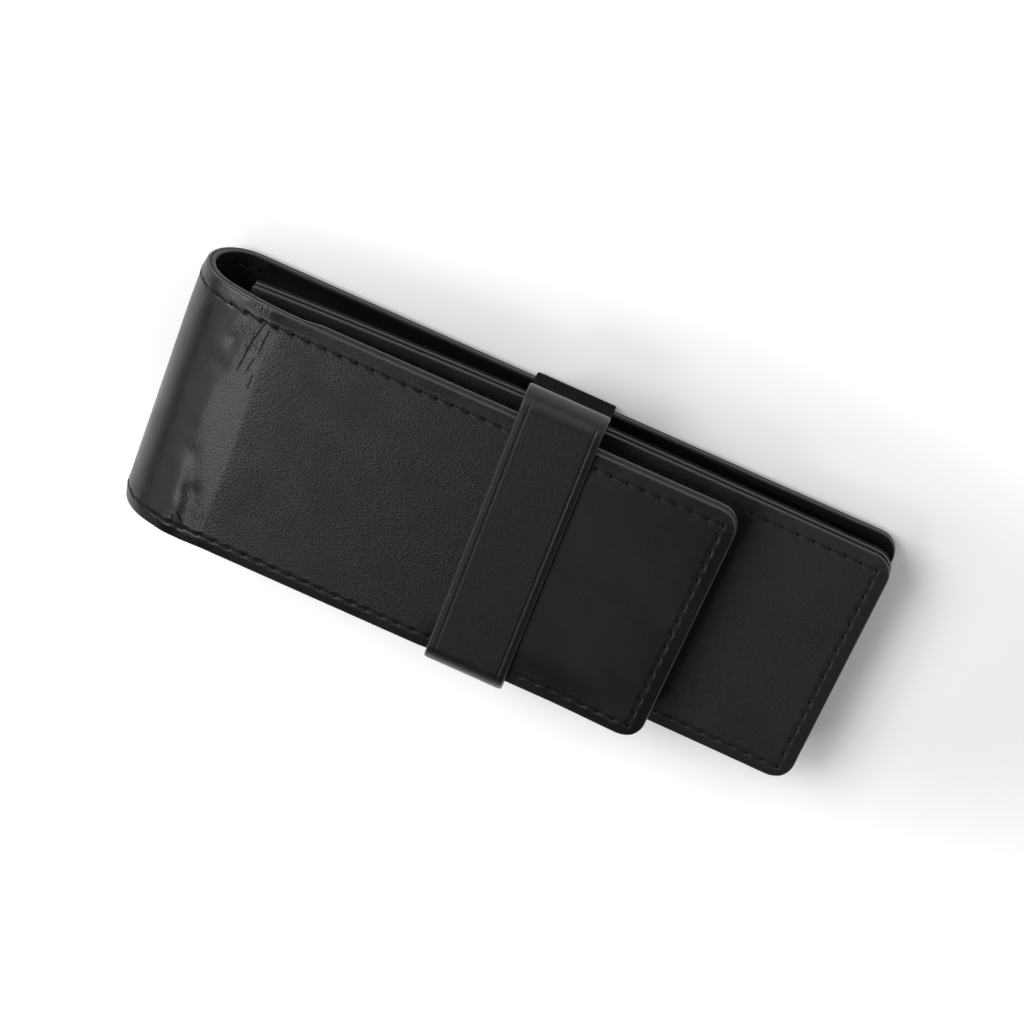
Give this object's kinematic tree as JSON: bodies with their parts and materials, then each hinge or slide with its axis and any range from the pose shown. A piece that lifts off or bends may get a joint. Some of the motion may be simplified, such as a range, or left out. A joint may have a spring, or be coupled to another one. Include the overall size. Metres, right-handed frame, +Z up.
{
  "type": "pen case",
  "caption": "Flat leather pen case with a gusseted pocket, a long flap that folds over its mouth and a loose leather band that holds the flap down.",
  "frame": {"origin": "centre of the case's bounding box on the surface that it lies on, under the band", "axes": "+X along the case from the fold to the closed bottom end of the pocket, +Y across it, +Z up through the flap"},
  "size_m": [0.165, 0.0734, 0.0263],
  "materials": {
    "outer_leather": "satin, fine grain",
    "lining_leather": "smooth, satin",
    "gusset_leather": "thin, satin",
    "core_board": "matt, pressed leather board"
  },
  "bodies": {
    "case": {"back_leather": "outer_leather", "back_lining": "lining_leather", "pocket_leather": "outer_leather", "pocket_core": "core_board", "pocket_lining": "lining_leather", "gusset_left": "gusset_leather", "gusset_right": "gusset_leather", "gusset_end": "gusset_leather"},
    "fold_1": {"fold_leather_1": "outer_leather", "fold_lining_1": "lining_leather"},
    "fold_2": {"fold_leather_2": "outer_leather", "fold_lining_2": "lining_leather"},
    "fold_3": {"fold_leather_3": "outer_leather", "fold_lining_3": "lining_leather"},
    "fold_4": {"fold_leather_4": "outer_leather", "fold_lining_4": "lining_leather"},
    "fold_5": {"fold_leather_5": "outer_leather", "fold_lining_5": "lining_leather"},
    "flap": {"flap_leather": "outer_leather", "flap_core": "core_board", "flap_lining": "lining_leather"},
    "band": {"band": "outer_leather"}
  },
  "joints": [
    {"name": "fold_turn_1", "type": "hinge", "parent": "case", "child": "fold_1", "pos_m": [-0.0719, 0, 0.0014], "axis": [0, -1, 0], "range_deg": [0, 20.38], "deforming": ["band"]},
    {"name": "fold_turn_2", "type": "hinge", "parent": "fold_1", "child": "fold_2", "pos_m": [-0.07882, 0, 0.00397], "axis": [0, -1, 0], "range_deg": [0, 40.75]},
    {"name": "fold_turn_3", "type": "hinge", "parent": "fold_2", "child": "fold_3", "pos_m": [-0.08238, 0, 0.01043], "axis": [0, -1, 0], "range_deg": [0, 40.75]},
    {"name": "fold_turn_4", "type": "hinge", "parent": "fold_3", "child": "fold_4", "pos_m": [-0.08086, 0, 0.01766], "axis": [0, -1, 0], "range_deg": [0, 40.75]},
    {"name": "fold_turn_5", "type": "hinge", "parent": "fold_4", "child": "fold_5", "pos_m": [-0.075, 0, 0.02214], "axis": [0, -1, 0], "range_deg": [0, 28.88]},
    {"name": "flap_turn", "type": "hinge", "parent": "fold_5", "child": "flap", "pos_m": [-0.05719, 0, 0.0248], "axis": [0, -1, 0], "range_deg": [0, 8.5]},
    {"name": "band_slide", "type": "slide", "parent": "case", "child": "band", "axis": [1, 0, 0], "range_m": [-0.055, 0.064]}
  ],
  "couplings": [
    {"joint": "fold_turn_2", "follows": "fold_turn_1", "ratio": 2},
    {"joint": "fold_turn_3", "follows": "fold_turn_1", "ratio": 2},
    {"joint": "fold_turn_4", "follows": "fold_turn_1", "ratio": 2},
    {"joint": "fold_turn_5", "follows": "fold_turn_1", "ratio": 1.4172},
    {"joint": "flap_turn", "follows": "fold_turn_1", "ratio": 0.41718}
  ]
}
